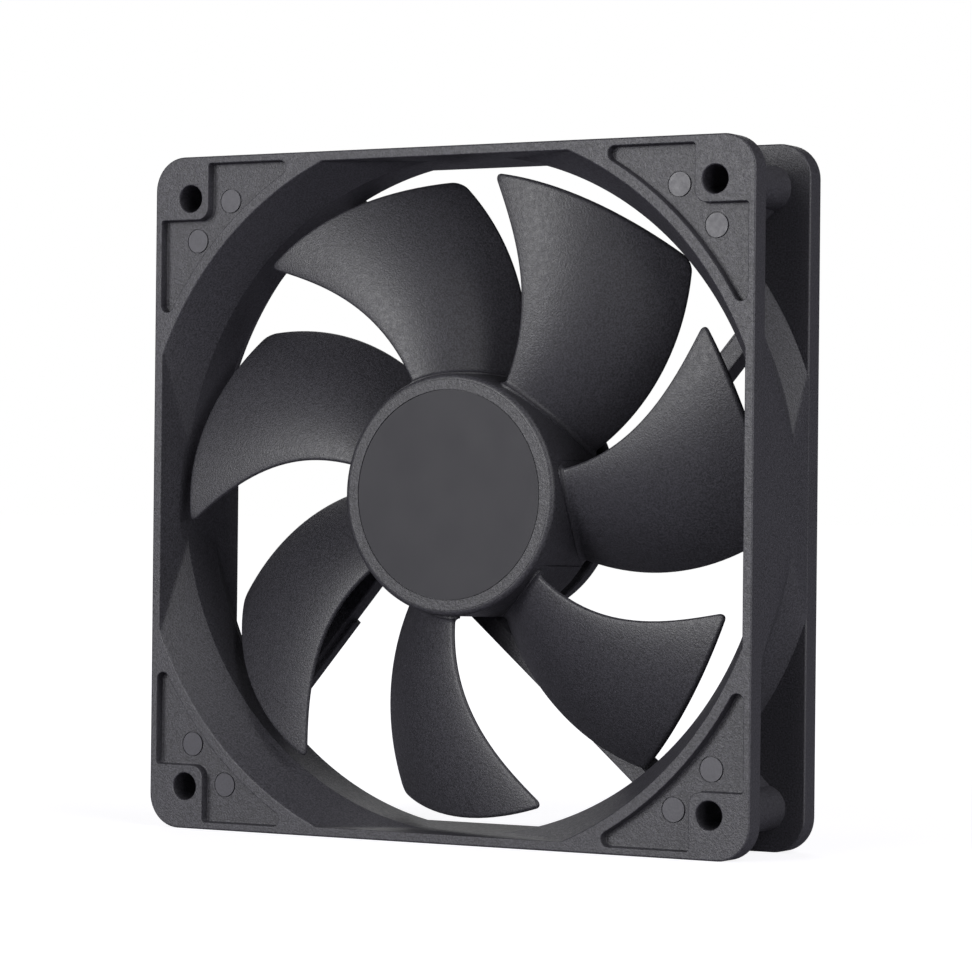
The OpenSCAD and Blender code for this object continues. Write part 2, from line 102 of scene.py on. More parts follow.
POCKET_FLOOR_R = 0.25
EJECTOR_R = 2.25
EJECTOR_IN = (7.5, 0.5)
EJECTOR_H = 0.12
EJECTOR_GAP = 0.16
EJECTOR_EDGE = 0.05
EJECTOR_CUT_TOP = 0.6

# Motor base and struts
BASE_H = 2.9
BASE_RIM = 1.7
BASE_FLOOR = 1.5
LABEL_RIM = 2.5
LABEL_SEAT = 0.25
AXIS_HOLE_R = 3.5
BOSS_WALL = 1.5
BOSS_BOTTOM = 1.3
STRUT_START = 4.0
STRUT_EDGE_R = 0.3
STRUT_SHORT = 1.8
STRUT_FOOT = 0.4
STRUT_W = 3.1
STRUT_H = 3.9
STRUT_OFFSET = 20.1
STRUT_SLANT = 2.0
LEAD_TURN = 229.5
LEAD_W = 10.7
CHANNEL_W = 5.6
CHANNEL_FLOOR = 1.3
LIP_AT = 38.0
LIP_W = 0.8
LIP_DROP = 1.6
LIP_ROOT = 3.0
LIP_EDGE_R = 0.2
CHANNEL_START = 14.0
BRIDGE_AT = (30.0, 48.0)
BRIDGE_L = 3.0
BRIDGE_H = 0.8
BRIDGE_LAP = 0.8
BRIDGE_SHY = 0.02
channel_y = -STRUT_OFFSET + (LEAD_W - CHANNEL_W) / 2

# Rotor
yoke_r, yoke_bottom, yoke_top = node_reach("rotor_yoke")
label_r, label_bottom = node_reach("hub_label")[:2]
hub_r = yoke_r + 1.9
base_r = hub_r + 0.1
HUB_DRAFT = 0.45
HUB_ROUND = 1.0
SEAT_DEPTH = 0.25
hub_front = label_bottom + SEAT_DEPTH
hub_back = yoke_bottom - 0.6
tip_r = throat_r - 2.8
LABEL_GAP = 0.1
HUB_BOSS_R = 5.5
HUB_BUSH_R = 3.0
BOSS_CLEAR = 0.7
BLADES = 7
BLADE_T = 1.6
pitch = 360 / BLADES


def stand(bm, name):
    """Turns a bmesh in local millimetres into an object in the part's frame."""
    bmesh.ops.recalc_face_normals(bm, faces=bm.faces)
    bm.transform(STAND)
    mesh = bpy.data.meshes.new(name)
    bm.to_mesh(mesh)
    bm.free()
    piece = bpy.data.objects.new(name, mesh)
    bpy.context.scene.collection.objects.link(piece)
    return piece


def turned(points, degrees):
    """2-D points turned about the origin."""
    c, s = math.cos(math.radians(degrees)), math.sin(math.radians(degrees))
    return [(x * c - y * s, x * s + y * c) for x, y in points]


def arc(centre, radius, start, end, steps):
    """Points of an arc, with its angles in degrees."""
    angles = [math.radians(start + (end - start) * i / steps) for i in range(steps + 1)]
    return [(centre[0] + radius * math.cos(a), centre[1] + radius * math.sin(a)) for a in angles]


def circle(centre, radius, count):
    """A closed outline of that many points."""
    return [(centre[0] + x, centre[1] + y) for x, y in arc((0, 0), radius, 0, 360, count)[:-1]]


def rounded(points, radii, steps=4, closed=True):
    """A polyline with each corner rounded to its radius; radii is one number or one per point."""
    count = len(points)
    if not hasattr(radii, "__len__"):
        radii = [radii] * count
    out = []
    for i, point in enumerate(points):
        p = Vector(point)
        if radii[i] <= 0 or (not closed and i in (0, count - 1)):
            out.append(tuple(p))
            continue
        to_last, to_next = Vector(points[i - 1]) - p, Vector(points[(i + 1) % count]) - p
        reach = 0.48 * min(to_last.length, to_next.length)
        u, v = to_last.normalized(), to_next.normalized()
        half_angle = u.angle(v) / 2
        radius = min(radii[i], reach * math.tan(half_angle))
        centre = p + (u + v).normalized() * radius / math.sin(half_angle)
        start = p + u * radius / math.tan(half_angle) - centre
        end = p + v * radius / math.tan(half_angle) - centre
        sweep = math.atan2(start.x * end.y - start.y * end.x, start.dot(end))
        for k in range(steps + 1):
            turn = Matrix.Rotation(sweep * k / steps, 2)
            out.append(tuple(centre + turn @ start))
    return out


def grown(points, by):
    """A closed outline moved outwards by a distance, corner by corner; it runs counter-clockwise."""
    out = []
    for i, point in enumerate(points):
        p = Vector(point)
        u = (p - Vector(points[i - 1])).normalized()
        v = (Vector(points[(i + 1) % len(points)]) - p).normalized()
        across = Vector((u.y + v.y, -u.x - v.x)).normalized()
        out.append(tuple(p + across * by / max(0.5, across.dot(Vector((u.y, -u.x))))))
    return out


def loft(rings):
    """A closed solid through rings of 3-D points that have the same count."""
    bm = bmesh.new()
    rows = [[bm.verts.new(p) for p in ring] for ring in rings]
    for lower, upper in zip(rows, rows[1:]):
        for i in range(len(lower)):
            j = (i + 1) % len(lower)
            bm.faces.new((lower[i], lower[j], upper[j], upper[i]))
    bm.faces.new(rows[0])
    bm.faces.new(rows[-1])
    return bm


def slab(outline, levels):
    """A solid whose outline is grown by each level's amount at that level's height."""
    return loft([[(x, y, z) for x, y in grown(outline, by)] for by, z in levels])


def quarter_turn(steps):
    return [math.pi / 2 * i / steps for i in range(steps + 1)]


def soft_levels(z0, z1, edge):
    """Levels of a slab with both edges rounded."""
    quarter = quarter_turn(3)
    lower = [(-edge * (1 - math.sin(a)), z0 + edge * (1 - math.cos(a))) for a in quarter]
    upper = [(-edge * (1 - math.cos(a)), z1 - edge * (1 - math.sin(a))) for a in quarter]
    return lower + upper


def pit_levels(z0, z1, lip, floor_r):
    """Levels of a cutter that leaves a rounded lip at z1 and a rounded corner at its floor z0."""
    quarter = quarter_turn(3)
    floor = [(-floor_r * (1 - math.sin(a)), z0 + floor_r * (1 - math.cos(a))) for a in quarter]
    mouth = [(lip * (1 - math.cos(a)), z1 - lip * (1 - math.sin(a))) for a in quarter]
    return floor + mouth + [(lip, z1 + 1)]


def lathe(profile, turns, groove=None):
    """A solid of revolution: turns are its angles, and profile is (radius, z), from the axis round to the
    axis, or a closed ring that ends where it starts."""
    bm = bmesh.new()
    columns = []
    for turn in turns:
        a = math.radians(turn)
        column = []
        for k, (r, z) in enumerate(profile):
            if r == 0:
                column.append(columns[0][k] if columns else bm.verts.new((0, 0, z)))
            else:
                r = groove(turn, r, z) if groove else r
                column.append(bm.verts.new((r * math.cos(a), r * math.sin(a), z)))
        columns.append(column)
    if profile[0] == profile[-1]:
        for column in columns:
            bm.verts.remove(column.pop())
            column.append(column[0])
    for left, right in zip(columns, columns[1:] + columns[:1]):
        for k in range(len(profile) - 1):
            corners = [left[k], left[k + 1], right[k + 1], right[k]]
            corners = [c for n, c in enumerate(corners) if c not in corners[:n]]
            if len(corners) > 2:
                bm.faces.new(corners)
    return bm


def even_turns(count):
    return [360 * i / count for i in range(count)]


def combine(target, tools, operation):
    """Adds the tools to the target, or cuts them from it, and applies the result to its mesh."""
    tray = bpy.data.collections.new("tools")
    for tool in tools:
        tray.objects.link(tool)
    boolean = target.modifiers.new(operation, "BOOLEAN")
    boolean.operation = operation
    boolean.solver = "MANIFOLD"
    boolean.operand_type = "COLLECTION"
    boolean.collection = tray
    shown = target.evaluated_get(bpy.context.evaluated_depsgraph_get())
    mesh = bpy.data.meshes.new_from_object(shown)
    target.modifiers.clear()
    target.data = mesh
    for tool in tools:
        bpy.data.objects.remove(tool)
    bpy.data.collections.remove(tray)


def finish_surface(piece, sharp=32):
    """Welds the mesh, marks its sharp edges and shades the rest smooth, with flat faces kept flat."""
    bm = bmesh.new()
    bm.from_mesh(piece.data)
    bmesh.ops.remove_doubles(bm, verts=bm.verts, dist=1e-6)
    bmesh.ops.dissolve_degenerate(bm, edges=bm.edges, dist=1e-6)
    for edge in bm.edges:
        edge.smooth = edge.is_manifold and edge.calc_face_angle(0) < math.radians(sharp)
    for face in bm.faces:
        face.smooth = True
    bm.to_mesh(piece.data)
    bm.free()
    weighted = piece.modifiers.new("flat_faces", "WEIGHTED_NORMAL")
    weighted.keep_sharp = True
    weighted.weight = 100
    return piece


# ---------------------------------------------------------------- the frame


def rectangle(x0, x1, y0, y1):
    return [(x0, y0), (x1, y0), (x1, y1), (x0, y1)]


def rounded_square(half, corner):
    centre = half - corner
    quarter = arc((centre, centre), corner, 0, 90, 12)
    return [p for k in range(4) for p in turned(quarter, 90 * k)]


def clipped_ring(radius, half, z, arc_steps=48, flat_steps=8):
    """A circle cut off flat by the four sides of a square, always with the same number of points."""
    cut = math.degrees(math.acos(min(1.0, half / radius)))
    reach = half * math.tan(math.radians(cut))
    flat = [(half, reach * (2 * i / flat_steps - 1)) for i in range(flat_steps)]
    quarter = flat + arc((0, 0), radius, cut, 90 - cut, arc_steps)[:-1]
    return [(x, y, z) for k in range(4) for x, y in turned(quarter, 90 * k)]


def flange(z0, z1):
    outline = rounded_square(half_w, CORNER_R)
    return stand(slab(outline, soft_levels(z0, z1, EDGE_R)), "flange")


def duct_outside():
    """Wide at both flanges and narrow at the waist, with flats just shy of the flanges' sides."""
    profile = rounded(
        [(duct_rear_r, rear_z + 1), (duct_rear_r, rear_z + FLANGE_T), (duct_waist_r, rear_z + WAIST_UP),
         (duct_front_r, front_z - FLANGE_T), (duct_front_r, front_z - 1)],
        [0, 0.8, 0.8, 0.8, 0], closed=False)
    return stand(loft([clipped_ring(r, half_w - DUCT_SHY, z) for r, z in profile]), "duct")


def air_path():
    """The air's way through: flare, throat and flare, with rounded mouths and a flat at each side."""
    profile = rounded(
        [(exhaust_r, rear_z), (throat_r, rear_z + EXHAUST_H), (throat_r, front_z - INTAKE_H),
         (intake_r, front_z)], BEND_R, closed=False)
    inner = [(r, z) for r, z in profile if rear_z + MOUTH_R < z < front_z - MOUTH_R]

    def wall(z):
        mouth_r, depth = (exhaust_r, EXHAUST_H) if z < 0 else (intake_r, INTAKE_H)
        share = min(abs(z - rear_z), abs(front_z - z)) / depth
        return throat_r + (mouth_r - throat_r) * (1 - share)

    def mouth(z_face, sign):
        levels = []
        for a in quarter_turn(4):
            z = z_face - sign * MOUTH_R * (1 - math.sin(a))
            levels.append((wall(z), flat_half, MOUTH_R * (1 - math.cos(a)), z))
        return levels + [(wall(z_face), flat_half, MOUTH_R, z_face + sign)]

    levels = mouth(rear_z, -1)[::-1] + [(r, flat_half, 0, z) for r, z in inner] + mouth(front_z, 1)
    return stand(loft([clipped_ring(r + by, half + by, z) for r, half, by, z in levels]), "air")


def screw_post(turn):
    centre = turned([(hole_at, hole_at)], turn)[0]
    return stand(slab(circle(centre, POST_R, 48), [(0, rear_z + 1), (0, front_z - 1)]), "post")


def post_web(turn):
    """The web that joins a post to the duct's wall."""
    near, far = throat_r + 0.3, hole_at * math.sqrt(2)
    outline = turned([(near, -WEB_HALF), (far, -WEB_HALF), (far, WEB_HALF), (near, WEB_HALF)], 45 + turn)
    return stand(slab(outline, [(0, rear_z + 1), (0, front_z - 1)]), "web")


def screw_hole(turn):
    centre = turned([(hole_at, hole_at)], turn)[0]
    lip = pit_levels(0, front_z, HOLE_BEVEL, 0)[4:]
    return stand(slab(circle(centre, HOLE_R, 64), [(by, -z) for by, z in reversed(lip)] + lip), "hole")


def pocket_outline():
    """An arc along the opening, two round ends, and a pad left round the screw hole."""
    edge = half_w - POCKET_RIM
    arc_r = intake_r + POCKET_LIP
    end_y = edge - POCKET_RIM
    end_x = math.sqrt((arc_r + POCKET_RIM) ** 2 - end_y ** 2)
    end_a = math.degrees(math.atan2(end_y, end_x))
    pad = hole_at - PAD_HALF
    pad_centre, corner = pad + PAD_ROUND, pad - POCKET_ROUND
    outline = (arc((end_x, end_y), POCKET_RIM, end_a + 180, 90, 10)
               + arc((corner, edge - POCKET_ROUND), POCKET_ROUND, 90, 0, 5)
               + arc((pad_centre, pad_centre), PAD_ROUND, 180, 270, 8)
               + arc((edge - POCKET_ROUND, corner), POCKET_ROUND, 90, 0, 5)
               + arc((end_y, end_x), POCKET_RIM, 0, -90 - end_a, 10)
               + arc((0, 0), arc_r, 90 - end_a, end_a, 40)[1:-1])
    return outline[::-1]


def corner_pocket(turn):
    outline = turned(pocket_outline(), turn)
    levels = pit_levels(front_z - POCKET_H, front_z, POCKET_EDGE_R, POCKET_FLOOR_R)
    return stand(slab(outline, levels), "pocket")


def ejector_marks(radius, top):
    """Two discs in each corner pocket; top gives their upper levels above the pocket's floor."""
    x, y = hole_at - EJECTOR_IN[0], hole_at - EJECTOR_IN[1]
    floor = front_z - POCKET_H
    levels = [(0, floor - EJECTOR_GAP)] + [(by, floor + rise) for by, rise in top]
    centres = [turned([at], turn)[0] for turn in QUARTERS for at in ((x, y), (y, x))]
    return [stand(slab(circle(centre, radius, 48), levels), "ejector") for centre in centres]


def strut_bar(turn, start, end, section):
    """A bar beside the axis with a section drawn across it, turned about the axis."""
    rings = []
    for along in (start, end):
        rings.append([(*turned([(along, y)], turn)[0], z) for y, z in section])
    return stand(loft(rings), "strut")


def struts():
    """Three plain struts, and a wide one for the leads, with a lip along its outer part."""
    end = exhaust_r - STRUT_SHORT
    low, high = rear_z, rear_z + STRUT_H
    section = rounded([(-STRUT_OFFSET - STRUT_FOOT, low), (-STRUT_OFFSET + STRUT_W + STRUT_SLANT, low),
                       (-STRUT_OFFSET + STRUT_W, high), (-STRUT_OFFSET, high)], STRUT_EDGE_R)
    bars = [strut_bar(LEAD_TURN + turn, STRUT_START, end, section) for turn in QUARTERS[1:]]
    wide = rounded(rectangle(-STRUT_OFFSET, -STRUT_OFFSET + LEAD_W, low, high), STRUT_EDGE_R)
    bars.append(strut_bar(LEAD_TURN, STRUT_START, end, wide))
    lip_y = -STRUT_OFFSET + LEAD_W + LIP_W
    lip = rounded(rectangle(lip_y - LIP_ROOT, lip_y, low, high - LIP_DROP), LIP_EDGE_R)
    bars.append(strut_bar(LEAD_TURN, LIP_AT, end, lip))
    return bars


def lead_channel():
    """The cut for the leads, open at the rear and out through the rear flange."""
    high = rear_z + STRUT_H - CHANNEL_FLOOR
    section = rounded(rectangle(channel_y, channel_y + CHANNEL_W, rear_z - 1, high), [0, 0, 0.4, 0.4])
    return strut_bar(LEAD_TURN, CHANNEL_START, 1.5 * half_w, section)


def lead_bridge(at):
    """A small bar across the lead channel that keeps the leads in."""
    sides = channel_y - BRIDGE_LAP, channel_y + CHANNEL_W + BRIDGE_LAP
    section = rounded(rectangle(*sides, rear_z + BRIDGE_SHY, rear_z + BRIDGE_H), 0.15)
    return strut_bar(LEAD_TURN, at, at + BRIDGE_L, section)


def base_plate():
    """The motor's base: a shallow cup, open to the front."""
    low, top, floor = rear_z, rear_z + BASE_H, rear_z + BASE_FLOOR
    inner = base_r - BASE_RIM
    profile = rounded([(0, low), (base_r, low), (base_r, top), (inner, top), (inner, floor), (0, floor)],
                      [0, 0.5, 0.4, 0.2, 0.3, 0], closed=False)
    return stand(lathe(profile, even_turns(160)), "base")


def base_room():
    """What the motor base keeps clear of struts: the room inside its rim."""
    return disc_cutter(base_r - BASE_RIM - 0.01, rear_z + BASE_FLOOR, front_z, 160)


def disc_cutter(radius, z0, z1, count=128):
    return stand(slab(circle((0, 0), radius, count), [(0, z0), (0, z1)]), "disc")


def bearing_boss():
    """The boss that holds the bearing tube, with the board's seat on top."""
    tube_r = node_reach("bearing_tube")[0]
    top = node_reach("circuit_board")[1]
    corners = rectangle(tube_r, tube_r + BOSS_WALL, rear_z + BOSS_BOTTOM, top)
    profile = rounded(corners + corners[:1], [0, 0, 0.2, 0.1, 0], closed=False)
    return stand(lathe(profile, even_turns(96)), "boss")


def paint_discs(body, plastic, polished_and_painted_sheen):
    """Gives the tops of the ejector discs the smoother finish that the pins leave, and a lighter base colour
    that is a painted sheen for the light those smoother tops reflect.
    """
    body.data.materials.clear()
    body.data.materials.append(plastic)
    body.data.materials.append(polished_and_painted_sheen)
    level = -(front_z - POCKET_H + EJECTOR_H) * MM
    for face in body.data.polygons:
        on_top = abs(face.center.y - level) < 0.01 * MM and abs(face.normal.y) > 0.9
        face.material_index = 1 if on_top else 0


def make_frame(plastic, polished_and_painted_sheen):
    """The moulded frame: two flanges, the duct between them, posts, struts and the motor's base."""
    body = flange(front_z - FLANGE_T, front_z)
    combine(body, [flange(rear_z, rear_z + FLANGE_T), duct_outside(), *map(screw_post, QUARTERS),
                   *map(post_web, QUARTERS)], "UNION")
    combine(body, [air_path()], "DIFFERENCE")
    base = base_plate()
    arms = struts()
    first = arms.pop()
    combine(first, arms, "UNION")
    combine(first, [base_room()], "DIFFERENCE")
    combine(body, [first, base], "UNION")
    label_seat = disc_cutter(base_r - LABEL_RIM, rear_z - 1, rear_z + LABEL_SEAT)
    combine(body, [label_seat, *map(screw_hole, QUARTERS)], "DIFFERENCE")
    axis_hole = disc_cutter(AXIS_HOLE_R, rear_z - 1, rear_z + 2)
    combine(body, [axis_hole, *map(corner_pocket, QUARTERS)], "DIFFERENCE")
    combine(body, [lead_channel(), *ejector_marks(EJECTOR_R, [(0, EJECTOR_CUT_TOP)])], "DIFFERENCE")
    pin_top = [(0, EJECTOR_H - EJECTOR_EDGE), (-EJECTOR_EDGE, EJECTOR_H)]
    pins = ejector_marks(EJECTOR_R - EJECTOR_GAP, pin_top)
    combine(body, [*map(lead_bridge, BRIDGE_AT), bearing_boss(), *pins], "UNION")
    body.name = "moulded_frame"
    finish_surface(body)
    paint_discs(body, plastic, polished_and_painted_sheen)
    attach(body, "frame")
    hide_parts("frame")


# ---------------------------------------------------------------- the impeller

ROOT_LEAD = 63.8
ROOT_CHORD = 42.7
TIP_LEAD_SWEEP = 19.1
TIP_TRAIL_SWEEP = 25.0
TRAIL_BOW = 1.3
LEAD_Z = 6.4
TRAIL_Z = -6.4
LEAD_BULGE = 0.7
CAMBER = (2.4, 3.6)
TIP_ROUND = 1.5
ROOT_SINK = 0.9
FILLET_R = 0.8
NOSE_R = 0.5
RING_STEP = 0.07
LINE_W = 0.35
LINE_DEPTH = 0.18


def edge_turns(t):
    """Angles of the leading and the trailing edge, in degrees, at a share t of the span."""
    lead = ROOT_LEAD + TIP_LEAD_SWEEP * (1.9 - 0.9 * t) * t * t
    trail = ROOT_LEAD - ROOT_CHORD + TIP_TRAIL_SWEEP * t - 4 * TRAIL_BOW * t * (1 - t)
    return lead, trail


def corner_cut(r):
    """How far the rounded tip corners pull both edges in at radius r, in millimetres."""
    part = max(0.0, (r - tip_r + TIP_ROUND) / TIP_ROUND)
    return TIP_ROUND * (1 - math.sqrt(max(0.0, 1 - part * part)))


def mid_line(r, share):
    """Point of the blade's middle surface at radius r: the way along the circle and the height."""
    t = max(0.0, (r - hub_r) / (tip_r - hub_r))
    lead, trail = edge_turns(t)
    cut = corner_cut(r) / (r * math.radians(36))
    w = cut + share * (1 - 2 * cut)
    bulge = LEAD_BULGE * 4 * t * (1 - t)
    camber = CAMBER[0] + (CAMBER[1] - CAMBER[0]) * t
    height = LEAD_Z + bulge + (TRAIL_Z - LEAD_Z - bulge) * w + 4 * camber * w * (1 - w)
    return Vector((math.radians(lead + (trail - lead) * w) * r, height))


def blade_section(r):
    """Outline of the blade cut at radius r, in the developed plane, with round edges."""
    chord = (mid_line(r, 1) - mid_line(r, 0)).length
    thin = min(1.0, max(0.02, (tip_r - r) / NOSE_R))
    thin = math.sqrt(1 - (1 - thin) ** 2)
    nose = [NOSE_R * (1 - math.cos(math.radians(a))) / chord for a in (0, 20, 40, 60, 80)]
    body = [0.5 - 0.5 * math.cos(math.pi * i / 26) for i in range(3, 24)]
    shares = nose + [v for v in body if nose[-1] < v < 1 - nose[-1]] + [1 - v for v in reversed(nose)]
    upper, lower = [], []
    for v in shares:
        at = mid_line(r, v)
        along = (mid_line(r, min(1, v + 0.01)) - mid_line(r, max(0, v - 0.01))).normalized()
        from_edge = min(v, 1 - v) * chord
        round_off = math.sqrt(max(0.0, 1 - (1 - min(1.0, from_edge / NOSE_R)) ** 2))
        half = BLADE_T / 2 * (0.45 + 0.55 * math.sqrt(4 * v * (1 - v))) * round_off * thin
        across = Vector((-along.y, along.x)) * half
        upper.append(at + across)
        lower.append(at - across)
    return [tuple(p) for p in upper + lower[-2:0:-1]]


def fillet_growth(r):
    """How much thicker the blade is where it runs into the hub."""
    gap = min(FILLET_R, max(0.0, r - hub_r))
    return FILLET_R - math.sqrt(FILLET_R ** 2 - (FILLET_R - gap) ** 2)


def blade_stations():
    """Radii at which the blade's sections are drawn, close together at the fillet and at the tip."""
    fillet = [hub_r + FILLET_R * (1 - math.cos(math.radians(a))) for a in (0, 25, 50, 70, 90)]
    root = [hub_r - ROOT_SINK] + fillet
    last = tip_r - TIP_ROUND
    span = [root[-1] + (last - root[-1]) * i / 24 for i in range(1, 25)]
    corner = [last + TIP_ROUND * math.sin(math.radians(a)) for a in (10, 20, 30, 40, 50, 60, 68, 76, 82)]
    return root + span + corner + [tip_r - 0.02]


def blade(turn):
    rings = []
    for r in blade_stations():
        section = blade_section(r)
        growth = fillet_growth(r)
        if growth > 0:
            section = grown(section, -growth) if signed_area(section) < 0 else grown(section, growth)
        angles = [(along / r + math.radians(turn), z) for along, z in section]
        rings.append([(r * math.cos(a), r * math.sin(a), z) for a, z in angles])
    return loft(rings)


def signed_area(points):
    return sum(a[0] * b[1] - b[0] * a[1] for a, b in zip(points, points[1:] + points[:1])) / 2


def hub_front_face(edge_r):
    """Profile from the axis over the label's seat, the ring round it and the rounded edge."""
    seat_r = label_r + LABEL_GAP
    seat = hub_front - SEAT_DEPTH
    face = [(0, seat), (seat_r, seat), (seat_r, hub_front - 0.05), (seat_r + 0.05, hub_front)]
    centre = (edge_r - HUB_ROUND, hub_front - HUB_ROUND - RING_STEP)
    step = [(centre[0], hub_front), (centre[0] + 0.05, hub_front - RING_STEP)]
    return face + step + arc(centre, HUB_ROUND, 84, 0, 10)


def hub_side(edge_r, top):
    """The tapered side, in steps down to just above the open end."""
    end = hub_back + 0.3
    return [(edge_r + HUB_DRAFT * k / 6, top + (end - top) * k / 6) for k in range(1, 7)]


def hub_inside():
    """Profile of the room for the yoke, the boss round the bush and the shaft's end."""
    boss_bottom = node_reach("bearing_tube")[2] + BOSS_CLEAR
    shaft_top = node_reach("shaft")[2]
    return [(hub_r - 0.3, hub_back), (yoke_r + 0.2, hub_back), (yoke_r, hub_back + 0.2), (yoke_r, yoke_top),
            (HUB_BOSS_R, yoke_top), (HUB_BOSS_R, boss_bottom), (HUB_BUSH_R, boss_bottom),
            (HUB_BUSH_R, shaft_top), (0, shaft_top)]


def hub():
    """The cup-shaped hub, with a shallow seat for its label and fine parting lines down its side."""
    first = ROOT_LEAD - ROOT_CHORD - (pitch - ROOT_CHORD) / 2
    line = math.degrees(LINE_W / 2 / hub_r)
    centres = [first + k * pitch for k in range(BLADES)]
    turns = []
    for centre in centres:
        turns += [centre - line, centre, centre + line]
        turns += [centre + line + (pitch - 2 * line) * i / 36 for i in range(1, 36)]
    edge_r = hub_r - HUB_DRAFT

    def groove(turn, r, z):
        return r - LINE_DEPTH if turn in centres and r > edge_r and z > hub_back else r

    side_top = hub_front - HUB_ROUND - RING_STEP
    return lathe(hub_front_face(edge_r) + hub_side(edge_r, side_top) + hub_inside(), turns, groove)


def make_impeller(material):
    """Hub and blades as one moulding."""
    piece = stand(hub(), "impeller_moulding")
    combine(piece, [stand(blade(pitch * k), "blade") for k in range(BLADES)], "UNION")
    piece.data.materials.clear()
    piece.data.materials.append(material)
    finish_surface(piece, 40)
    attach(piece, "rotor")
    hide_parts("impeller")


# ---------------------------------------------------------------- materials


class Nodes:
    """A material's node tree with short ways to add nodes."""

    def __init__(self, name):
        self.material = bpy.data.materials.new(name)
        self.material.use_nodes = True
        self.tree = self.material.node_tree
        self.shader = self.tree.nodes["Principled BSDF"]
        self.place = self.add("ShaderNodeTexCoord").outputs["Object"]

    def add(self, kind, inputs=None, **settings):
        node = self.tree.nodes.new(kind)
        for key, value in settings.items():
            setattr(node, key, value)
        for key, value in (inputs or {}).items():
            self.put(node.inputs[key], value)
        return node

    def put(self, socket, value):
        if isinstance(value, bpy.types.NodeSocket):
            self.tree.links.new(value, socket)
        else:
            socket.default_value = value

    def noise(self, size, detail=2.0, rough=0.5, stretch=None):
        """Noise whose features are about size metres wide."""
        vector = self.place
        if stretch:
            vector = self.add("ShaderNodeMapping", {"Vector": vector, "Scale": stretch}).outputs["Vector"]
        found = self.add("ShaderNodeTexNoise", {"Vector": vector, "Scale": 1 / size, "Detail": detail,
                                                "Roughness": rough})
        return found.outputs["Fac"]

    def spread(self, value, low, high, to_low, to_high):
        return self.add("ShaderNodeMapRange", {"Value": value, "From Min": low, "From Max": high,
                                               "To Min": to_low, "To Max": to_high}).outputs["Result"]

    def mix(self, share, first, second):
        node = self.add("ShaderNodeMix", data_type="RGBA")
        self.put(node.inputs[0], share)
        self.put(node.inputs[6], first)
        self.put(node.inputs[7], second)
        return node.outputs[2]

    def bump(self, height, distance):
        node = self.add("ShaderNodeBump", {"Height": height, "Distance": distance, "Strength": 1.0})
        return node.outputs["Normal"]

    def set(self, **values):
        for key, value in values.items():
            self.put(self.shader.inputs[key.replace("_", " ")], value)
        return self.material


def shade(level, tint=(1.0, 0.97, 1.17)):
    """A grey of that linear level, slightly cool."""
    return (level * tint[0], level * tint[1], level * tint[2], 1.0)


def grained_plastic(name, level, rough, grain=0.0003, depth=0.000065, contrast=0.5):
    """Black moulded plastic with a spark-eroded grain, slightly uneven in tone."""
    n = Nodes(name)
    fine = n.noise(grain, 2.0, 0.55)
    fleck = n.spread(fine, 0.36, 0.64, 0.0, 1.0)
    tone = n.mix(fleck, shade(level * (1 - contrast)), shade(level * (1 + contrast)))
    tone = n.mix(n.spread(n.noise(0.02), 0.3, 0.7, 0.0, 0.3), tone, shade(level * 1.12))
    roughness = n.spread(n.noise(grain * 2.5), 0.3, 0.7, rough - 0.05, rough + 0.06)
    return n.set(Base_Color=tone, Roughness=roughness, Specular_IOR_Level=0.5, Normal=n.bump(fine, depth))


def smooth_label(name, level):
    """A printed foil: flat and matt, with the faintest unevenness."""
    n = Nodes(name)
    cloud = n.noise(0.006, 3.0)
    tone = n.mix(cloud, shade(level * 0.97), shade(level * 1.03))
    return n.set(Base_Color=tone, Roughness=n.spread(cloud, 0.3, 0.7, 0.5, 0.56), Specular_IOR_Level=0.3,
                 Normal=n.bump(n.noise(0.0004), 0.000004))


def metal(name, colour, rough, stretch=None, size=0.0006):
    """Metal with fine working marks and a slight stain."""
    n = Nodes(name)
    marks = n.noise(size, 3.0, 0.6, stretch)
    stain = n.noise(0.004, 2.0)
    dull = tuple(c * 0.72 for c in colour[:3]) + (1.0,)
    tone = n.mix(n.spread(stain, 0.35, 0.7, 0.0, 0.6), colour, dull)
    return n.set(Base_Color=tone, Metallic=1.0, Roughness=n.spread(marks, 0.3, 0.7, rough - 0.08, rough + 0.1),
                 Normal=n.bump(marks, 0.00001))


def dull_solid(name, colour, rough, grain=0.0005, depth=0.00001, spread_to=0.75):
    """A moulded, sintered or fired body with a fine surface and slight clouds of tone."""
    n = Nodes(name)
    cloud = n.noise(0.003, 3.0)
    darker = tuple(c * spread_to for c in colour[:3]) + (1.0,)
    tone = n.mix(n.spread(cloud, 0.3, 0.7, 0.0, 1.0), colour, darker)
    fine = n.noise(grain, 3.0, 0.6)
    return n.set(Base_Color=tone, Roughness=n.spread(fine, 0.3, 0.7, rough - 0.05, rough + 0.08),
                 Normal=n.bump(fine, depth))


def wound_wire(name):
    """Enamelled copper wire laid side by side."""
    n = Nodes(name)
    turns = n.add("ShaderNodeTexWave", {"Vector": n.place, "Scale": 900.0, "Distortion": 1.5,
                                        "Detail": 1.0}, bands_direction="DIAGONAL").outputs["Fac"]
    tone = n.mix(turns, (0.22, 0.06, 0.015, 1), (0.62, 0.24, 0.07, 1))
    return n.set(Base_Color=tone, Metallic=0.85, Roughness=n.spread(turns, 0.0, 1.0, 0.42, 0.24),
                 Coat_Weight=0.4, Normal=n.bump(turns, 0.00006))


def rolled_sheets(name):
    """The edges of a stack of thin steel sheets."""
    n = Nodes(name)
    layers = n.add("ShaderNodeTexWave", {"Vector": n.place, "Scale": 320.0, "Distortion": 0.3},
                   bands_direction="Y").outputs["Fac"]
    tone = n.mix(layers, (0.16, 0.165, 0.175, 1), (0.42, 0.43, 0.45, 1))
    return n.set(Base_Color=tone, Metallic=0.9, Roughness=n.spread(layers, 0, 1, 0.55, 0.36),
                 Normal=n.bump(layers, 0.00004))


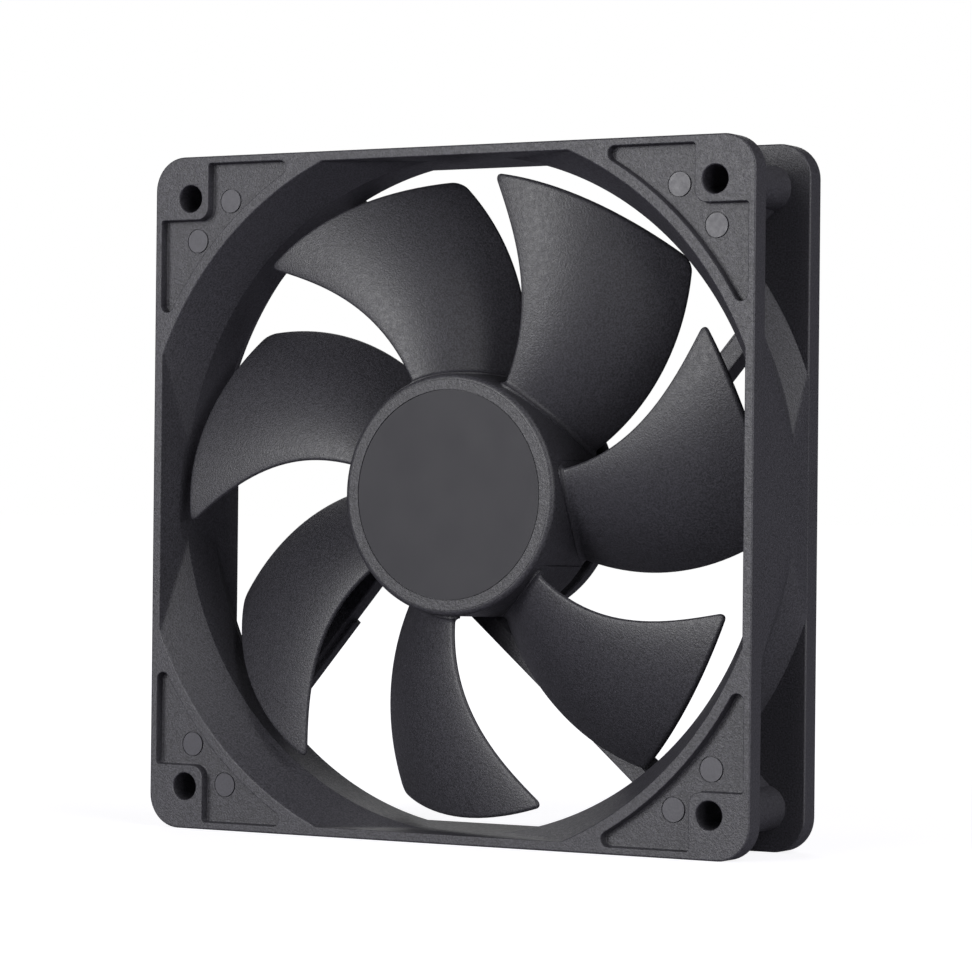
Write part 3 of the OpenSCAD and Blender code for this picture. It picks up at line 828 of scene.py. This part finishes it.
def circuit_board(name):
    """Solder mask over a web of tracks."""
    n = Nodes(name)
    tracks = n.add("ShaderNodeTexVoronoi", {"Vector": n.place, "Scale": 420.0},
                   feature="DISTANCE_TO_EDGE").outputs["Distance"]
    line = n.spread(tracks, 0.03, 0.07, 1.0, 0.0)
    tone = n.mix(line, (0.006, 0.07, 0.022, 1), (0.02, 0.16, 0.05, 1))
    return n.set(Base_Color=tone, Roughness=n.spread(n.noise(0.001), 0.3, 0.7, 0.26, 0.36), Coat_Weight=0.3,
                 Normal=n.bump(line, 0.00003))


def dress(node, material):
    """Gives a CAD node its material, on every slot of its mesh."""
    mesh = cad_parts[node].data
    if mesh.materials:
        for k in range(len(mesh.materials)):
            mesh.materials[k] = material
    else:
        mesh.materials.append(material)


def dress_motor():
    """The pieces inside the fan keep their CAD shapes and get real materials."""
    brass = metal("brass_turned", (0.66, 0.45, 0.16, 1), 0.3, (1, 6, 1))
    insulator = dull_solid("insulator_moulded", (0.72, 0.69, 0.6, 1), 0.5)
    copper = wound_wire("copper_wound")
    tin = metal("tin", (0.62, 0.6, 0.56, 1), 0.3)
    looks = {
        "bearing_tube": brass,
        "shaft_bush": brass,
        "sleeve_bearing": dull_solid("bronze_sintered", (0.3, 0.17, 0.075, 1), 0.55, 0.0002, 0.00004, 0.6),
        "oil_seal_ring": dull_solid("film", (0.55, 0.5, 0.32, 1), 0.35),
        "thrust_pad": dull_solid("nylon", (0.75, 0.73, 0.65, 1), 0.42),
        "retaining_clip": dull_solid("nylon_clip", (0.72, 0.7, 0.6, 1), 0.42),
        "oil_slinger": dull_solid("nylon_slinger", (0.78, 0.77, 0.72, 1), 0.42),
        "end_cap": dull_solid("rubber_cap", (0.012, 0.012, 0.012, 1), 0.7),
        "stator_core": rolled_sheets("steel_stack"),
        "upper_insulator": insulator,
        "lower_insulator": insulator,
        "coil_1": copper, "coil_2": copper, "coil_3": copper, "coil_4": copper,
        "circuit_board": circuit_board("board_masked"),
        "hall_driver_ic": dull_solid("chip_resin", (0.015, 0.015, 0.016, 1), 0.5, 0.0002),
        "filter_capacitor": dull_solid("ceramic", (0.3, 0.2, 0.11, 1), 0.4),
        "chip_resistors": dull_solid("resistor", (0.02, 0.02, 0.022, 1), 0.3),
        "winding_pins": tin,
        "solder_joints": metal("solder_bright", (0.6, 0.61, 0.62, 1), 0.22, None, 0.002),
        "rear_label": smooth_label("rear_label_foil", 0.07),
        "hub_label": smooth_label("hub_label_foil", 0.025),
        "rotor_yoke": metal("steel_drawn", (0.45, 0.46, 0.47, 1), 0.35, (1, 8, 1)),
        "magnet_ring": dull_solid("ferrite_bonded", (0.035, 0.033, 0.032, 1), 0.55, 0.0002, 0.00003),
        "shaft": metal("steel_ground", (0.6, 0.61, 0.62, 1), 0.18, (1, 12, 1)),
    }
    for node, material in looks.items():
        dress(node, material)


# ---------------------------------------------------------------- camera, floor and light

# The camera's place round the fan in radians and metres, the point it aims at, its lens and its roll
CAM_TURN = math.radians(30.359)
CAM_LIFT = math.radians(-0.292)
CAM_DISTANCE = 0.66347
CAM_ASIDE = 0.001768
CAM_ABOVE = 0.001623
CAM_LENS = 140.73
CAM_ROLL = 0.5945
FLOOR_REACH = 12.0

# Each light's name, place, size and power; all of them look at the fan
LIGHTS = (
    ("key", (-0.35, -1.15, 0.4), 0.9, 6.5),
    ("key_core", (-0.35, -1.15, 0.25), 0.35, 6.2),
    ("fill", (0.0, -1.2, 0.0), 0.5, 3.4),
    ("front_right", (1.1, -0.7, 0.1), 0.4, 2.7),
    ("right", (1.3, -0.1, 0.4), 0.6, 7.5),
    ("high_right", (1.0, -0.4, 1.0), 0.6, 5.1),
    ("back", (-0.7, 1.0, 0.8), 0.9, 3.4),
)

def view_axes(toward):
    """The unit vectors to the right and up for something that looks along a direction."""
    right = toward.cross(Vector((0, 0, 1))).normalized()
    return right, right.cross(toward)


def look_at(obj, place, target, roll=0.0):
    """Puts obj at place with its -Z axis towards target, turned by roll degrees about that axis."""
    toward = (Vector(target) - Vector(place)).normalized()
    right, up = view_axes(toward)
    c, s = math.cos(math.radians(roll)), math.sin(math.radians(roll))
    right, up = right * c + up * s, up * c - right * s
    turn = Matrix((right, up, -toward)).transposed().to_4x4()
    obj.matrix_world = Matrix.Translation(place) @ turn


def make_camera():
    """Level with the fan, to its right, with a long lens."""
    back = Vector((math.sin(CAM_TURN) * math.cos(CAM_LIFT), -math.cos(CAM_TURN) * math.cos(CAM_LIFT),
                   math.sin(CAM_LIFT)))
    right, up = view_axes(-back)
    aim = right * CAM_ASIDE + up * CAM_ABOVE
    data = bpy.data.cameras.new("camera")
    data.lens = CAM_LENS
    data.sensor_width = 36
    camera = bpy.data.objects.new("camera", data)
    bpy.context.scene.collection.objects.link(camera)
    look_at(camera, aim + back * CAM_DISTANCE, aim, CAM_ROLL)
    bpy.context.scene.camera = camera


def make_floor():
    """A wide, plain floor under the fan that the camera sees nearly white."""
    bm = bmesh.new()
    height = cad_box[0][2]
    corners = rectangle(-FLOOR_REACH, FLOOR_REACH, -FLOOR_REACH, FLOOR_REACH)
    bm.faces.new([bm.verts.new((x, y, height)) for x, y in corners])
    mesh = bpy.data.meshes.new("floor")
    bm.to_mesh(mesh)
    bm.free()
    n = Nodes("floor_paint")
    cloud = n.noise(0.3)
    distance = n.add("ShaderNodeVectorMath", {0: n.place}, operation="LENGTH").outputs["Value"]
    glow = n.spread(distance, 0.08, 0.4, 0.84, 1.0)
    seen = n.add("ShaderNodeLightPath").outputs["Is Camera Ray"]
    shown = n.add("ShaderNodeMath", {0: glow, 1: seen}, operation="MULTIPLY").outputs["Value"]
    mesh.materials.append(n.set(Base_Color=n.mix(cloud, shade(0.28), shade(0.3)), Roughness=0.7,
                                Specular_IOR_Level=0.2, Emission_Color=(1, 1, 1, 1), Emission_Strength=shown))
    floor = bpy.data.objects.new("floor", mesh)
    bpy.context.scene.collection.objects.link(floor)


def area_light(name, place, size, power):
    """A square softbox that looks at the fan."""
    data = bpy.data.lights.new(name, "AREA")
    data.shape = "SQUARE"
    data.size = size
    data.energy = power
    light = bpy.data.objects.new(name, data)
    bpy.context.scene.collection.objects.link(light)
    look_at(light, place, (0, 0, 0))


def make_surround():
    """A surround that the camera sees white, and that lights the fan very weakly."""
    world = bpy.data.worlds.new("surround")
    bpy.context.scene.world = world
    world.use_nodes = True
    tree = world.node_tree
    tree.nodes.clear()
    seen = tree.nodes.new("ShaderNodeBackground")
    seen.inputs["Strength"].default_value = 1.0
    seen.inputs["Color"].default_value = (1, 1, 1, 1)
    lit = tree.nodes.new("ShaderNodeBackground")
    lit.inputs["Strength"].default_value = 0.01
    lit.inputs["Color"].default_value = (0.97, 0.98, 1.0, 1)
    path = tree.nodes.new("ShaderNodeLightPath")
    mix = tree.nodes.new("ShaderNodeMixShader")
    out = tree.nodes.new("ShaderNodeOutputWorld")
    tree.links.new(path.outputs["Is Camera Ray"], mix.inputs[0])
    tree.links.new(lit.outputs[0], mix.inputs[1])
    tree.links.new(seen.outputs[0], mix.inputs[2])
    tree.links.new(mix.outputs[0], out.inputs[0])


bpy.context.scene.view_settings.view_transform = "Standard"
make_camera()
make_floor()
make_surround()
for light in LIGHTS:
    area_light(*light)
# The pin marks' material is lighter in base colour than the frame's. That lighter colour is a painted sheen
# for the light their smoother tops reflect. Their lower roughness and finer grain are real.
make_frame(grained_plastic("frame_plastic", 0.036, 0.5),
           grained_plastic("pin_mark_plastic_painted_sheen", 0.052, 0.42, 0.0004, 0.00001, 0.12))
make_impeller(grained_plastic("impeller_plastic", 0.029, 0.46))
dress_motor()
